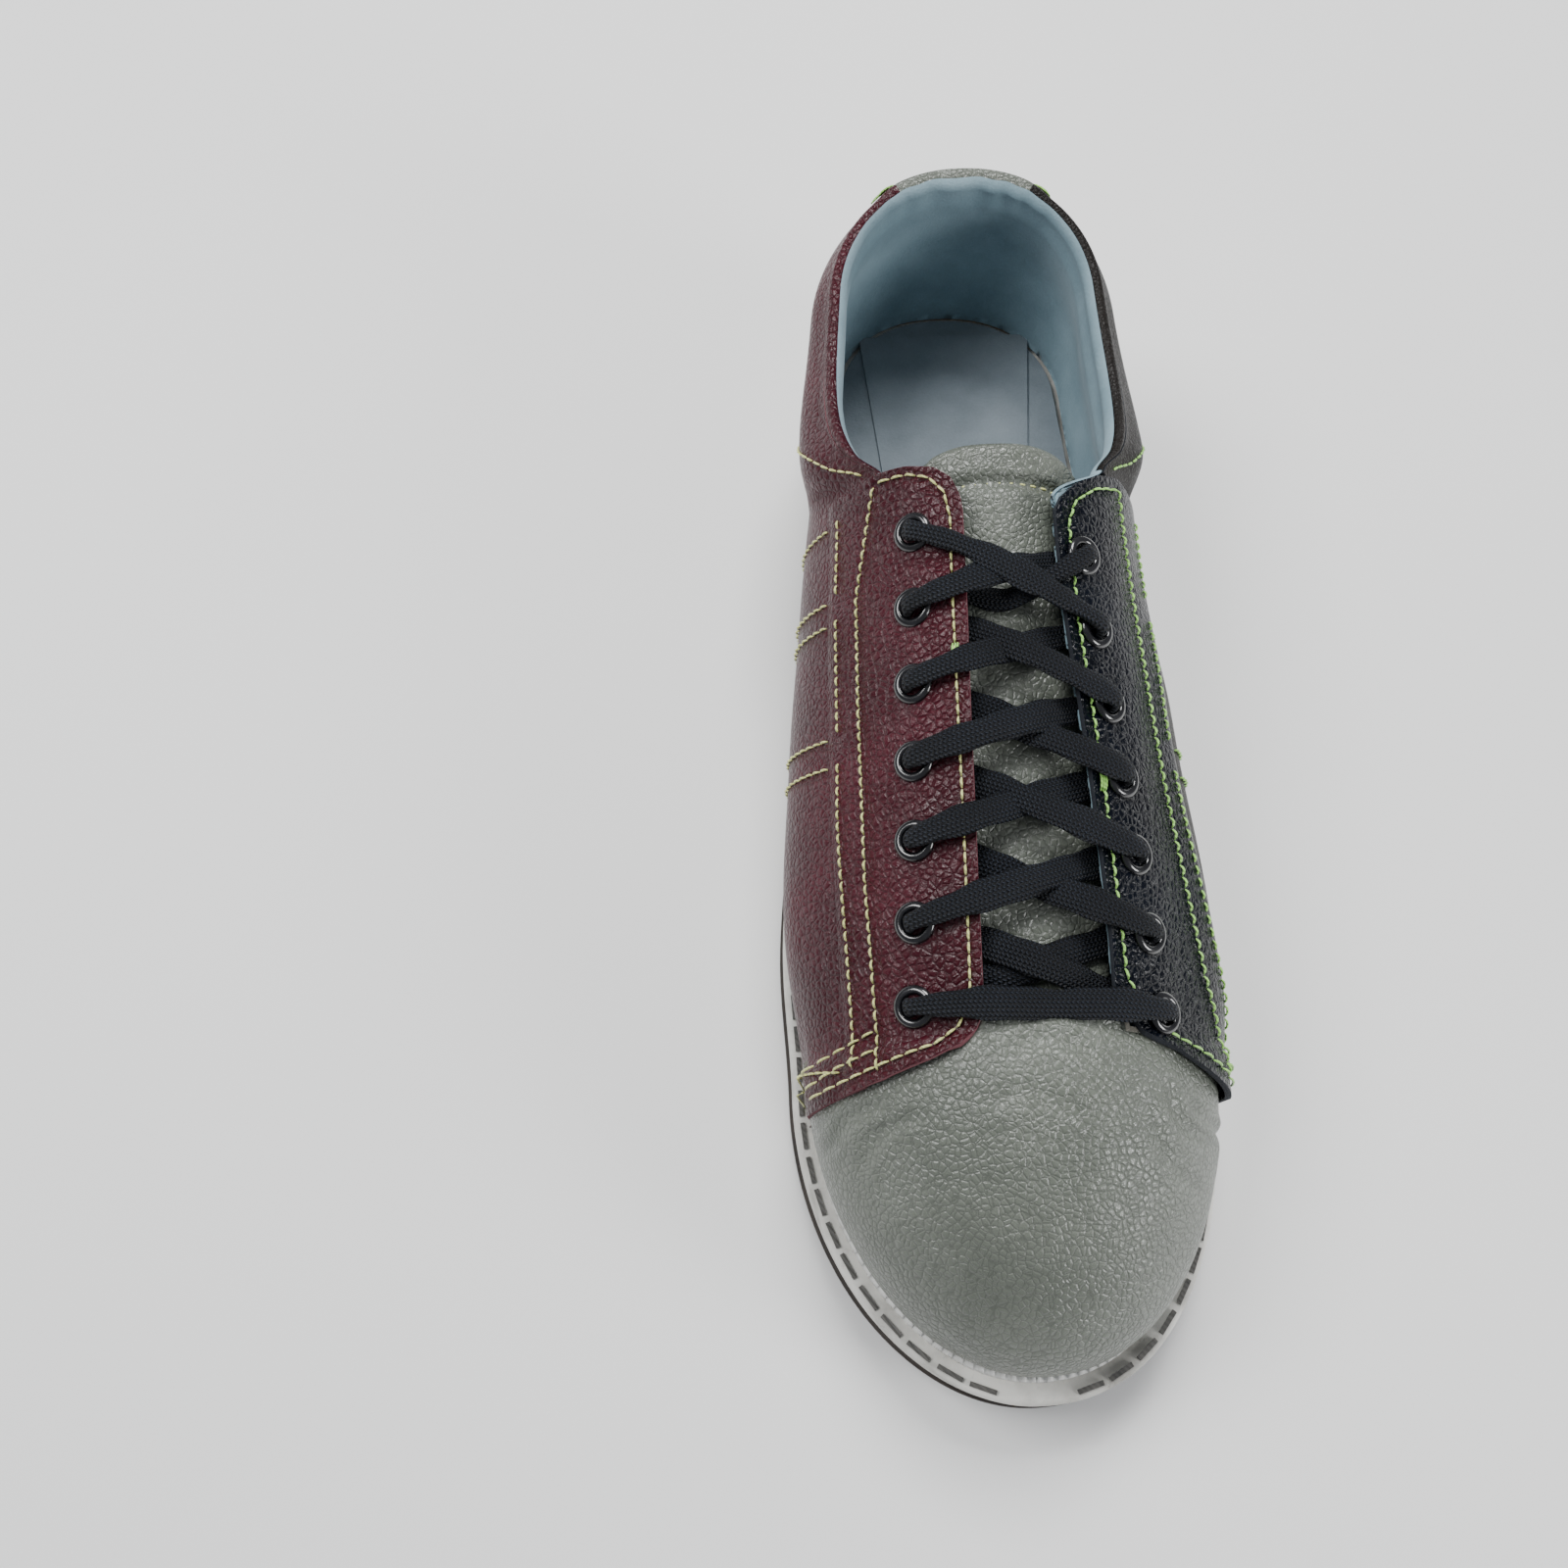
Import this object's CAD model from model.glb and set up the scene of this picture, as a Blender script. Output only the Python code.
import math
import bpy
import numpy as np
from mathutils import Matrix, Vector


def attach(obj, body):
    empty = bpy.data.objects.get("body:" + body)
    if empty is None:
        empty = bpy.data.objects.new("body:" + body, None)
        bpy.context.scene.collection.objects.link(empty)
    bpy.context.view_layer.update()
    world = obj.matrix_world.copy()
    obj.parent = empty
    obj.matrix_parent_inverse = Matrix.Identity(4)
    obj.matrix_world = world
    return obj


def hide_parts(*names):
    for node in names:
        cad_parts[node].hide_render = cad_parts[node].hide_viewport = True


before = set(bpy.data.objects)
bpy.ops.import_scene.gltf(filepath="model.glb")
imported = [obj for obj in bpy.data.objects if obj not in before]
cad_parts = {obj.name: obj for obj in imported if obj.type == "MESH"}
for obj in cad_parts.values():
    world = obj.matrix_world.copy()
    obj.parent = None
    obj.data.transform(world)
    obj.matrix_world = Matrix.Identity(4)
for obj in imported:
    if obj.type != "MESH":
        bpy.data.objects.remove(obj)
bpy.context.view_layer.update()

# A lace-up bowling shoe for the left foot. Formulas are in millimetres, in the frame of
# the CAD model: toe towards -Y, outer side +X, ground at z = 0. Meshes are in metres.
MM = 0.001

# ------------------------------------------------------------------ camera
CAMERA_PLACE = (-55.0, -135.7, 357.2)
CAMERA_YAW = 1.63
CAMERA_PITCH = -68.13
LENS_MM = 31.545

# ------------------------------------------------------------------ the last, as in the CAD
TOE_TIP, HEEL_BACK = -152.0, 152.0
TOE_POLE, HEEL_POLE = -80.0, 114.0
MEDIAL, LATERAL = -1, 1
SIDE_NAME = {MEDIAL: "medial", LATERAL: "lateral"}
SOLE_HALF_WIDTH = {
    MEDIAL: ((-80, 52.5), (-43, 53.5), (-3, 49), (37, 44), (77, 40), (114, 37.5)),
    LATERAL: ((-80, 51.5), (-43, 51.5), (-3, 48), (37, 44), (77, 40), (114, 37.5)),
}
SPINE_X = ((-80, 1.1), (20, 0.1), (114, -0.4))
TOE_ROUNDNESS = {MEDIAL: 1.97, LATERAL: 2.12}
HEEL_ROUNDNESS = 2.2
FEATHER_INSET = ((-152, 10), (-110, 9.8), (-80, 9), (-43, 7.5), (0, 6), (60, 5), (114, 5), (152, 6.4))
FEATHER_HEIGHT = ((-152, 23), (-130, 17.5), (-105, 15), (-80, 14.5), (-50, 14.5), (0, 18), (60, 24), (152,
            25))
RIDGE_HEIGHT = ((-80, 62), (-50, 67.5), (-20, 73.5), (10, 79.5), (40, 85.5), (70, 92.5), (114, 103))
DOME_POWER = ((-152, 1.9), (-80, 2.35), (-40, 2.25), (0, 2.15), (40, 2.25), (75, 2.7), (114, 2.9), (152, 2.9))
WALL_BULGE = {
    MEDIAL: ((-152, 0.05), (-80, 0.1), (-43, 0.13), (0, 0.15), (40, 0.15), (80, 0.09), (114, 0.06), (152,
            0.05)),
    LATERAL: ((-152, 0.05), (-80, 0.08), (-43, 0.07), (0, 0.05), (60, 0.05), (114, 0.06), (152, 0.05)),
}
TREAD_HEIGHT = ((-152, 10), (-130, 4), (-105, 0.6), (-90, 0), (-30, 0), (0, 2), (40, 6), (70, 8), (152, 8))
COLLAR_LINE = ((54, 78), (64, 72.5), (78, 68.5), (94, 68), (112, 70.5), (130, 76), (148, 84), (160, 87))
COLLAR_SWELL = ((54, 0), (68, 5.0), (80, 5.5), (114, 4.5), (152, 2.4))
COLLAR_DEPTH = 26.0
INNER_SWELL = 0.45
FACING_EDGE = {
    MEDIAL: ((-70, -9.6), (-20, -9.0), (30, -8.2)),
    LATERAL: ((-66, 17.3), (-20, 15.2), (15, 12.0), (41, 11.0)),
}
EYESTAY_EDGE = {
    MEDIAL: ((-110, -36), (-84, -36.6), (-30, -38.0), (20, -36.8), (54, -35)),
    LATERAL: ((-110, 50), (-80, 48.2), (-50, 43), (-15, 38), (20, 36.2), (54, 36.4)),
}
# Inner and outer face of each leather layer, above the last.
LEATHER, OVERLAY = (2.0, 3.2), (3.3, 4.4)
FIRST_EYELET = {MEDIAL: (-22.8, -69.5), LATERAL: (27.5, -72.0)}
LAST_EYELET = {MEDIAL: (-17.9, 37.0), LATERAL: (16.7, 30.0)}
EYELET_ROWS = 7
TONGUE_BASE, TONGUE_TOP = -75.0, 58.0
TONGUE_HALF_WIDTH = ((-75, 18), (-30, 24), (20, 28), (58, 29))
TONGUE_SINK = ((-75, 0.5), (-69, 2.9), (-58, 3.4), (58, 3.6))

rng = np.random.default_rng(7)


def through(table, place):
    """A smooth curve through (place, value) pairs, level at both ends."""
    xs, vs = np.array(table, dtype=float).T
    slopes = np.zeros(len(xs))
    slopes[1:-1] = (vs[2:] - vs[:-2]) / (xs[2:] - xs[:-2])
    place = np.clip(place, xs[0], xs[-1])
    k = np.clip(np.searchsorted(xs, place, side="right") - 1, 0, len(xs) - 2)
    h = xs[k + 1] - xs[k]
    t = (place - xs[k]) / h
    bend = t * (1 - t) * ((1 - t) * slopes[k] - t * slopes[k + 1]) * h
    return vs[k] + (vs[k + 1] - vs[k]) * t * t * (3 - 2 * t) + bend


def step(low, high, value):
    """Eases from 0 at low to 1 at high."""
    t = np.clip((value - low) / (high - low), 0, 1)
    return t * t * (3 - 2 * t)


def by_side(side, table, place):
    """A curve that differs between the two sides of the shoe."""
    return np.where(side < 0, through(table[MEDIAL], place), through(table[LATERAL], place))


def outline(side, station, inset):
    """Plan point of the sole edge moved in by inset, and the spine point opposite."""
    side, station, inset = np.broadcast_arrays(np.asarray(side, float), np.asarray(station, float), inset)
    pole = np.clip(station, TOE_POLE, HEEL_POLE)
    spine = through(SPINE_X, pole)
    half = by_side(side, SOLE_HALF_WIDTH, pole) - inset
    toe_turn = np.pi / 2 * np.clip((station - TOE_TIP) / (TOE_POLE - TOE_TIP), 0, 1)
    heel_turn = np.pi / 2 * np.clip((HEEL_BACK - station) / (HEEL_BACK - HEEL_POLE), 0, 1)
    toe_power = np.where(side < 0, TOE_ROUNDNESS[MEDIAL], TOE_ROUNDNESS[LATERAL])
    across = np.abs(np.sin(toe_turn)) ** (2 / toe_power) * np.abs(np.sin(heel_turn)) ** (2 / HEEL_ROUNDNESS)
    y = pole - (TOE_POLE - TOE_TIP - inset) * np.abs(np.cos(toe_turn)) ** (2 / toe_power)
    y = y + (HEEL_BACK - HEEL_POLE - inset) * np.abs(np.cos(heel_turn)) ** (2 / HEEL_ROUNDNESS)
    return spine + side * half * across, y, spine, pole


def last(side, station, rise):
    """Points on the last for a side, a station and a rise from feather (0) to ridge (1)."""
    side, station, rise = np.broadcast_arrays(np.asarray(side, float), np.asarray(station, float), rise)
    rise = np.clip(rise, 0, 1)
    x, y, spine_x, spine_y = outline(side, station, through(FEATHER_INSET, station))
    power = through(DOME_POWER, station)
    share = np.abs(np.cos(rise * np.pi / 2)) ** (2 / power)
    height = np.sin(rise * np.pi / 2) ** (2 / power)
    swell = 16.3 * height ** 1.6 * (1 - height) ** 2.6
    share = share * (1 + by_side(side, WALL_BULGE, station) * swell)
    low = through(FEATHER_HEIGHT, y) + 0.15
    top = through(RIDGE_HEIGHT, spine_y)
    return np.stack([spine_x + (x - spine_x) * share, spine_y + (y - spine_y) * share,
                     low + (top - low) * height], axis=-1)


def last_lap(lap, rise):
    """The last by laps: medial toe to heel, then on round the heel to the lateral toe."""
    lap = np.asarray(lap, float)
    side = np.where(lap <= HEEL_BACK, MEDIAL, LATERAL)
    return last(side, np.where(lap <= HEEL_BACK, lap, 2 * HEEL_BACK - lap), rise)


def unit(v):
    """Vectors scaled to length 1."""
    return v / np.maximum(np.linalg.norm(v, axis=-1, keepdims=True), 1e-9)


def outward(normal, point):
    """Normals turned to point away from the inside of the shoe."""
    inside = np.stack([np.zeros_like(point[..., 0]), np.clip(point[..., 1], TOE_POLE, HEEL_POLE),
                       np.full_like(point[..., 0], 30.0)], axis=-1)
    flip = np.sum(normal * (point - inside), axis=-1, keepdims=True) < 0
    return np.where(flip, -normal, normal)


def lap_frame(lap, rise):
    """Point and outward normal of the last at a lap and rise."""
    lap, rise = np.broadcast_arrays(np.asarray(lap, float), np.asarray(rise, float))
    point = last_lap(lap, rise)
    along = last_lap(lap + 0.4, rise) - last_lap(lap - 0.4, rise)
    up = last_lap(lap, np.minimum(rise + 0.004, 1)) - last_lap(lap, np.maximum(rise - 0.004, 0))
    normal = np.cross(along, up)
    level = normal * np.array([1, 1, 0])
    normal = unit(np.where((rise <= 0.004)[..., None], level, normal))
    normal = outward(normal, point)
    return point + normal * fullness(lap, rise)[..., None], normal


def fullness(lap, rise):
    """How much fuller the outer wall is by the ball of the foot."""
    station = 2 * HEEL_BACK - np.asarray(lap, float)
    along = step(-92, -62, station) * (1 - step(5, 45, station))
    return 2.4 * along * step(0.04, 0.28, rise) * (1 - step(0.3, 0.54, rise))


def lap_of(side, station):
    """The lap at a station on one side."""
    return station if side == MEDIAL else 2 * HEEL_BACK - station


def solve(measure, low, high, rounds=34):
    """Where a rising measure crosses zero, between low and high, for arrays."""
    low, high = np.array(low, float), np.array(high, float)
    for _ in range(rounds):
        middle = (low + high) / 2
        less = measure(middle) < 0
        low, high = np.where(less, middle, low), np.where(less, high, middle)
    return (low + high) / 2


def rise_at_collar(side, station, below=0.0):
    """The rise at which the wall is that far below the topline."""
    station = np.asarray(station, float)

    def measure(rise):
        p = last(side, station, rise)
        return p[..., 2] - through(COLLAR_LINE, p[..., 1]) + below

    return solve(measure, np.zeros_like(station), np.full_like(station, 0.9))


def arch_frame(y, x):
    """Point and normal of the last over plan places, between the two poles."""
    y, x = np.broadcast_arrays(np.asarray(y, float), np.asarray(x, float))

    def place(at_y, at_x):
        spine = through(SPINE_X, at_y)
        side = np.where(at_x < spine, MEDIAL, LATERAL)
        want = np.abs(at_x - spine)
        rise = solve(lambda r: want - np.abs(last(side, at_y, r)[..., 0] - spine),
                     np.zeros_like(at_y), np.ones_like(at_y))
        return last(side, at_y, rise)

    h = 0.5
    point = place(y, x)
    normal = np.cross(place(y, x + h) - place(y, x - h), place(y + h, x) - place(y - h, x))
    return point, unit(normal)


def collar_swell(point):
    """How far the padding swells the collar outward."""
    full = through(COLLAR_SWELL, point[..., 1])
    below = (through(COLLAR_LINE, point[..., 1]) - point[..., 2]) / COLLAR_DEPTH
    return full * (0.4 + 0.6 * step(0, 0.35, below)) * (1 - step(0.35, 1, below))


def lap_lift(y):
    """How far the facing's front end is raised over the vamp."""
    return 1.3 * step(-75, -80, y)


def vamp_sink(y):
    """How far the vamp's rear edge drops under the facings."""
    return 1.2 * step(-80, -75, y)


# ------------------------------------------------------------------ mesh helpers
def add_mesh(name, vertices, faces, material, uvs=None, smooth=True):
    """Makes an object from vertices in millimetres."""
    mesh = bpy.data.meshes.new(name)
    mesh.from_pydata((np.asarray(vertices) * MM).tolist(), [], faces)
    mesh.validate()
    obj = bpy.data.objects.new(name, mesh)
    bpy.context.scene.collection.objects.link(obj)
    materials = material if isinstance(material, (list, tuple)) else [material]
    for item in materials:
        mesh.materials.append(item)
    mesh.polygons.foreach_set("use_smooth", [smooth] * len(mesh.polygons))
    if uvs is not None:
        layer = mesh.uv_layers.new(name="surface")
        loops = np.zeros(len(mesh.loops), dtype=int)
        mesh.loops.foreach_get("vertex_index", loops)
        layer.data.foreach_set("uv", np.asarray(uvs)[loops].astype(np.float32).ravel())
    mesh.update()
    return obj


def grid_faces(rows, columns, wrap=False, start=0):
    """The quads of a grid of points, row by row."""
    faces = []
    for i in range(rows - 1):
        for j in range(columns if wrap else columns - 1):
            k = (j + 1) % columns
            faces.append((start + i * columns + j, start + i * columns + k,
                          start + (i + 1) * columns + k, start + (i + 1) * columns + j))
    return faces


def face_outward(points, faces):
    """Turns the faces over if the grid's normals point into the shoe."""
    p = points.reshape(-1, 3)
    i = len(faces) // 2
    a, b, c = (p[k] for k in faces[i][:3])
    normal = np.cross(b - a, c - a)
    centre = (a + b + c) / 3
    if np.dot(outward(normal, centre), normal) < 0:
        return [tuple(reversed(f)) for f in faces]
    return faces


def panel(name, points, material, edge_material, thickness, bevel=0.35):
    """A leather piece: a grid of points for its face, with thickness and soft cut edges."""
    rows, columns = points.shape[:2]
    faces = face_outward(points, grid_faces(rows, columns))
    across = np.linalg.norm(np.diff(points, axis=1), axis=-1).cumsum(axis=1)
    along = np.linalg.norm(np.diff(points, axis=0), axis=-1).cumsum(axis=0)
    u = np.concatenate([np.zeros((rows, 1)), across], axis=1)
    v = np.concatenate([np.zeros((1, columns)), along], axis=0)
    uvs = np.stack([u, v], axis=-1).reshape(-1, 2) * MM * 10
    obj = add_mesh(name, points.reshape(-1, 3), faces, [material, edge_material], uvs)
    solid = obj.modifiers.new("thickness", "SOLIDIFY")
    solid.thickness = thickness * MM
    solid.offset = -1
    solid.material_offset_rim = 1
    solid.use_rim = True
    soft = obj.modifiers.new("cut_edge", "BEVEL")
    soft.width = bevel * MM
    soft.segments = 3
    soft.limit_method = "ANGLE"
    soft.angle_limit = math.radians(50)
    soft.harden_normals = False
    return obj


# ------------------------------------------------------------------ materials
def new_material(name):
    """A new material with its node tree and main shader."""
    material = bpy.data.materials.new(name)
    material.use_nodes = True
    tree = material.node_tree
    shader = next(n for n in tree.nodes if n.type == "BSDF_PRINCIPLED")
    return material, tree, shader


def add(tree, kind, **values):
    """Adds a node and sets its properties or inputs by name."""
    node = tree.nodes.new(kind)
    for key, value in values.items():
        if hasattr(node, key):
            setattr(node, key, value)
        else:
            node.inputs[key.replace("_", " ")].default_value = value
    return node


def ramp(tree, source, stops):
    """Turns a value into a colour by stops."""
    node = tree.nodes.new("ShaderNodeValToRGB")
    elements = node.color_ramp.elements
    while len(elements) < len(stops):
        elements.new(0.5)
    for element, (place, colour) in zip(elements, stops):
        element.position = place
        element.color = (*colour, 1) if len(colour) == 3 else colour
    tree.links.new(source, node.inputs["Fac"])
    return node.outputs["Color"]


def mix_colour(tree, factor, a, b, blend="MIX"):
    """Mixes two colours, each a socket or a plain value."""
    node = tree.nodes.new("ShaderNodeMix")
    node.data_type = "RGBA"
    node.blend_type = blend
    for socket, value in ((node.inputs["Factor"], factor), (node.inputs["A"], a), (node.inputs["B"], b)):
        if isinstance(value, bpy.types.NodeSocket):
            tree.links.new(value, socket)
        elif isinstance(value, (int, float)):
            socket.default_value = value
        else:
            socket.default_value = (*value, 1)
    return node.outputs["Result"]


def math_node(tree, operation, a, b=None, clamp=False):
    """One sum on sockets or plain numbers."""
    node = tree.nodes.new("ShaderNodeMath")
    node.operation = operation
    node.use_clamp = clamp
    for socket, value in zip(node.inputs, (a, b)):
        if value is None:
            continue
        if isinstance(value, bpy.types.NodeSocket):
            tree.links.new(value, socket)
        else:
            socket.default_value = value
    return node.outputs[0]


def times(tree, a, b, clamp=False):
    return math_node(tree, "MULTIPLY", a, b, clamp)


def plus(tree, a, b, clamp=False):
    return math_node(tree, "ADD", a, b, clamp)


def object_place(tree, scale=1.0, stretch=(1, 1, 1)):
    """Object coordinates, scaled."""
    coordinates = tree.nodes.new("ShaderNodeTexCoord")
    mapping = tree.nodes.new("ShaderNodeMapping")
    mapping.inputs["Scale"].default_value = tuple(scale * s for s in stretch)
    tree.links.new(coordinates.outputs["Object"], mapping.inputs["Vector"])
    return mapping.outputs["Vector"]


def noise(tree, place, scale, detail=3.0, roughness=0.55):
    """Fractal noise at a place."""
    node = add(tree, "ShaderNodeTexNoise", Scale=scale, Detail=detail, Roughness=roughness)
    tree.links.new(place, node.inputs["Vector"])
    return node.outputs["Fac"]


def bump(tree, shader, height, distance, strength=1.0, under=None):
    """Adds relief to a shader's normal."""
    node = add(tree, "ShaderNodeBump", Strength=strength, Distance=distance)
    tree.links.new(height, node.inputs["Height"])
    if under is not None:
        tree.links.new(under, node.inputs["Normal"])
    tree.links.new(node.outputs["Normal"], shader.inputs["Normal"])
    return node.outputs["Normal"]


def leather(name, base, dark, light, roughness, cell=1.25, depth=0.22, gloss=0.5):
    """Tumbled leather: pebbles with dark creases between them, soft folds and wear."""
    material, tree, shader = new_material(name)
    place = object_place(tree)
    warp = add(tree, "ShaderNodeTexNoise", Scale=260.0, Detail=2.0)
    tree.links.new(place, warp.inputs["Vector"])
    shift = add(tree, "ShaderNodeVectorMath", operation="MULTIPLY_ADD")
    tree.links.new(warp.outputs["Color"], shift.inputs[0])
    shift.inputs[1].default_value = (0.0011, 0.0011, 0.0011)
    tree.links.new(place, shift.inputs[2])
    pebble = add(tree, "ShaderNodeTexVoronoi", feature="SMOOTH_F1", Scale=1000.0 / cell, Smoothness=0.35)
    tree.links.new(shift.outputs[0], pebble.inputs["Vector"])
    crack = add(tree, "ShaderNodeTexVoronoi", feature="DISTANCE_TO_EDGE", Scale=1000.0 / cell)
    tree.links.new(shift.outputs[0], crack.inputs["Vector"])
    small = add(tree, "ShaderNodeTexVoronoi", feature="DISTANCE_TO_EDGE", Scale=2400.0 / cell)
    tree.links.new(shift.outputs[0], small.inputs["Vector"])
    furrow = times(tree, crack.outputs["Distance"], 4.5, clamp=True)
    fine = times(tree, small.outputs["Distance"], 3.5, clamp=True)
    dome = math_node(tree, "SUBTRACT", 1.0, pebble.outputs["Distance"])
    height = plus(tree, times(tree, furrow, 0.75), times(tree, dome, 0.5))
    height = plus(tree, height, times(tree, fine, 0.16))
    patchy = noise(tree, place, 42.0, 4.0)
    varied = times(tree, height, plus(tree, 0.55, times(tree, patchy, 0.9)))
    folds = noise(tree, object_place(tree, 1.0, (0.6, 1.6, 1.0)), 95.0, 3.0)
    soft = add(tree, "ShaderNodeBump", Strength=0.5, Distance=0.0007)
    tree.links.new(folds, soft.inputs["Height"])
    bump(tree, shader, varied, depth * MM, 1.0, soft.outputs["Normal"])
    tone = ramp(tree, patchy, [(0.3, dark), (0.55, base), (0.8, light)])
    shade = ramp(tree, furrow, [(0.0, (0.62, 0.62, 0.62)), (0.5, (1, 1, 1))])
    tree.links.new(mix_colour(tree, 0.85, tone, shade, "MULTIPLY"), shader.inputs["Base Color"])
    rough = plus(tree, roughness - 0.09, times(tree, patchy, 0.18))
    rough = plus(tree, rough, times(tree, math_node(tree, "SUBTRACT", 1.0, furrow), 0.12))
    tree.links.new(rough, shader.inputs["Roughness"])
    shader.inputs["Specular IOR Level"].default_value = gloss
    return material


def raw_edge(name, colour):
    """The fibrous cut edge of leather."""
    material, tree, shader = new_material(name)
    place = object_place(tree)
    fibre = noise(tree, place, 1900.0, 5.0, 0.7)
    tone = ramp(tree, fibre, [(0.3, tuple(c * 0.5 for c in colour)), (0.7, colour)])
    tree.links.new(tone, shader.inputs["Base Color"])
    shader.inputs["Roughness"].default_value = 0.85
    bump(tree, shader, fibre, 0.0003)
    return material


def cloth(name, base, shade, scale=1400.0, depth=0.00008, sheen=0.4):
    """A fine woven or brushed lining."""
    material, tree, shader = new_material(name)
    place = object_place(tree)
    weave = noise(tree, place, scale, 3.0, 0.7)
    soft = noise(tree, place, 55.0, 4.0)
    tone = ramp(tree, soft, [(0.35, shade), (0.65, base)])
    tree.links.new(mix_colour(tree, 0.25, tone, weave, "MULTIPLY"), shader.inputs["Base Color"])
    shader.inputs["Roughness"].default_value = 0.8
    shader.inputs["Sheen Weight"].default_value = sheen
    height = plus(tree, weave, times(tree, noise(tree, place, 700.0, 4.0), 0.8))
    bump(tree, shader, height, depth)
    return material


def thread(name, colour, dark):
    """Twisted sewing thread."""
    material, tree, shader = new_material(name)
    place = object_place(tree)
    twist = add(tree, "ShaderNodeTexWave", Scale=420.0, Distortion=0.6, bands_direction="DIAGONAL")
    tree.links.new(place, twist.inputs["Vector"])
    grime = noise(tree, place, 180.0, 3.0)
    tone = ramp(tree, grime, [(0.3, dark), (0.6, colour)])
    tree.links.new(mix_colour(tree, 0.25, tone, twist.outputs["Color"], "MULTIPLY"),
                   shader.inputs["Base Color"])
    shader.inputs["Roughness"].default_value = 0.5
    shader.inputs["Sheen Weight"].default_value = 0.3
    bump(tree, shader, twist.outputs["Fac"], 0.00012)
    return material


def woven_lace(name):
    """Flat braided lace: rows of small slanted floats from the surface coordinates."""
    material, tree, shader = new_material(name)
    coordinates = tree.nodes.new("ShaderNodeTexCoord")
    split = tree.nodes.new("ShaderNodeSeparateXYZ")
    tree.links.new(coordinates.outputs["UV"], split.inputs[0])
    across, along = split.outputs["X"], split.outputs["Y"]
    rib = math_node(tree, "SINE", times(tree, across, 2 * math.pi / 0.95))
    column = math_node(tree, "FLOOR", math_node(tree, "DIVIDE", across, 0.475))
    parity = times(tree, column, 0.5)
    slant = plus(tree, times(tree, along, 1 / 1.05), parity)
    flip = math_node(tree, "SUBTRACT", math_node(tree, "PINGPONG", column, 1.0), 0.5)
    slant = plus(tree, slant, times(tree, times(tree, across, flip), 1.6))
    stitch = math_node(tree, "SINE", times(tree, slant, 2 * math.pi))
    height = plus(tree, times(tree, rib, 0.35), times(tree, stitch, 0.65))
    place = object_place(tree)
    fuzz = noise(tree, place, 2600.0, 3.0, 0.7)
    level = plus(tree, times(tree, height, 0.5), 0.5, clamp=True)
    tone = ramp(tree, level, [(0.15, (0.0006, 0.0008, 0.0015)), (0.6, (0.0045, 0.006, 0.010)), (1.0, (0.022,
            0.028, 0.04))])
    worn = ramp(tree, noise(tree, place, 60.0, 3.0), [(0.35, (0.75, 0.75, 0.75)), (0.7, (1.3, 1.3, 1.3))])
    tree.links.new(mix_colour(tree, 1.0, tone, worn, "MULTIPLY"), shader.inputs["Base Color"])
    shader.inputs["Roughness"].default_value = 0.6
    shader.inputs["Specular IOR Level"].default_value = 0.3
    total = plus(tree, height, times(tree, fuzz, 0.6))
    bump(tree, shader, total, 0.0004)
    return material


def enamel(name):
    """Glossy black enamelled metal, lightly rubbed."""
    material, tree, shader = new_material(name)
    place = object_place(tree)
    wear = noise(tree, place, 300.0, 4.0)
    tone = ramp(tree, wear, [(0.4, (0.003, 0.003, 0.004)), (0.75, (0.014, 0.014, 0.017))])
    tree.links.new(tone, shader.inputs["Base Color"])
    tree.links.new(plus(tree, 0.12, times(tree, wear, 0.16)), shader.inputs["Roughness"])
    shader.inputs["Coat Weight"].default_value = 0.7
    shader.inputs["Coat Roughness"].default_value = 0.08
    bump(tree, shader, wear, 0.00004, 0.4)
    return material


def rubber(name, base, dirt, amount, roughness=0.6):
    """Moulded sole rubber with scuffs and ground-in dirt."""
    material, tree, shader = new_material(name)
    place = object_place(tree)
    blotch = noise(tree, place, 38.0, 6.0, 0.65)
    speck = noise(tree, place, 420.0, 5.0, 0.7)
    smear = noise(tree, object_place(tree, 1.0, (0.5, 0.5, 5.0)), 90.0, 5.0, 0.6)
    mask = times(tree, ramp(tree, blotch, [(0.42, (0, 0, 0)), (0.72, (1, 1, 1))]), amount)
    mask = plus(tree, mask, times(tree, ramp(tree, smear, [(0.5, (0, 0, 0)), (0.8, (1, 1, 1))]),
                                  amount * 0.8))
    mask = plus(tree, mask, times(tree, ramp(tree, speck, [(0.6, (0, 0, 0)), (0.75, (1, 1, 1))]),
                                  amount * 0.5), clamp=True)
    tree.links.new(mix_colour(tree, mask, base, dirt), shader.inputs["Base Color"])
    tree.links.new(plus(tree, roughness - 0.1, times(tree, blotch, 0.25)), shader.inputs["Roughness"])
    bump(tree, shader, plus(tree, speck, blotch), 0.00012, 0.6)
    return material


TAUPE = leather("leather_taupe", (0.138, 0.152, 0.126), (0.108, 0.12, 0.099), (0.178, 0.195, 0.165), 0.29,
                cell=1.5,
                depth=0.19, gloss=0.7)
BURGUNDY = leather("leather_burgundy", (0.052, 0.0033, 0.0095), (0.034, 0.0022, 0.0062), (0.08, 0.0068,
            0.0165), 0.29,
                   cell=1.7, depth=0.26, gloss=0.35)
NAVY = leather("leather_navy", (0.0006, 0.0018, 0.0055), (0.0003, 0.001, 0.003), (0.0016, 0.004, 0.0095), 0.2,
               cell=1.7, depth=0.2, gloss=0.22)
CHARCOAL = leather("leather_charcoal", (0.0085, 0.0062, 0.0048), (0.0058, 0.0042, 0.0033), (0.012, 0.009,
            0.007),
                   0.4, cell=1.1, depth=0.12, gloss=0.2)
EDGE_TAUPE = raw_edge("edge_taupe", (0.2, 0.19, 0.16))
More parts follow.
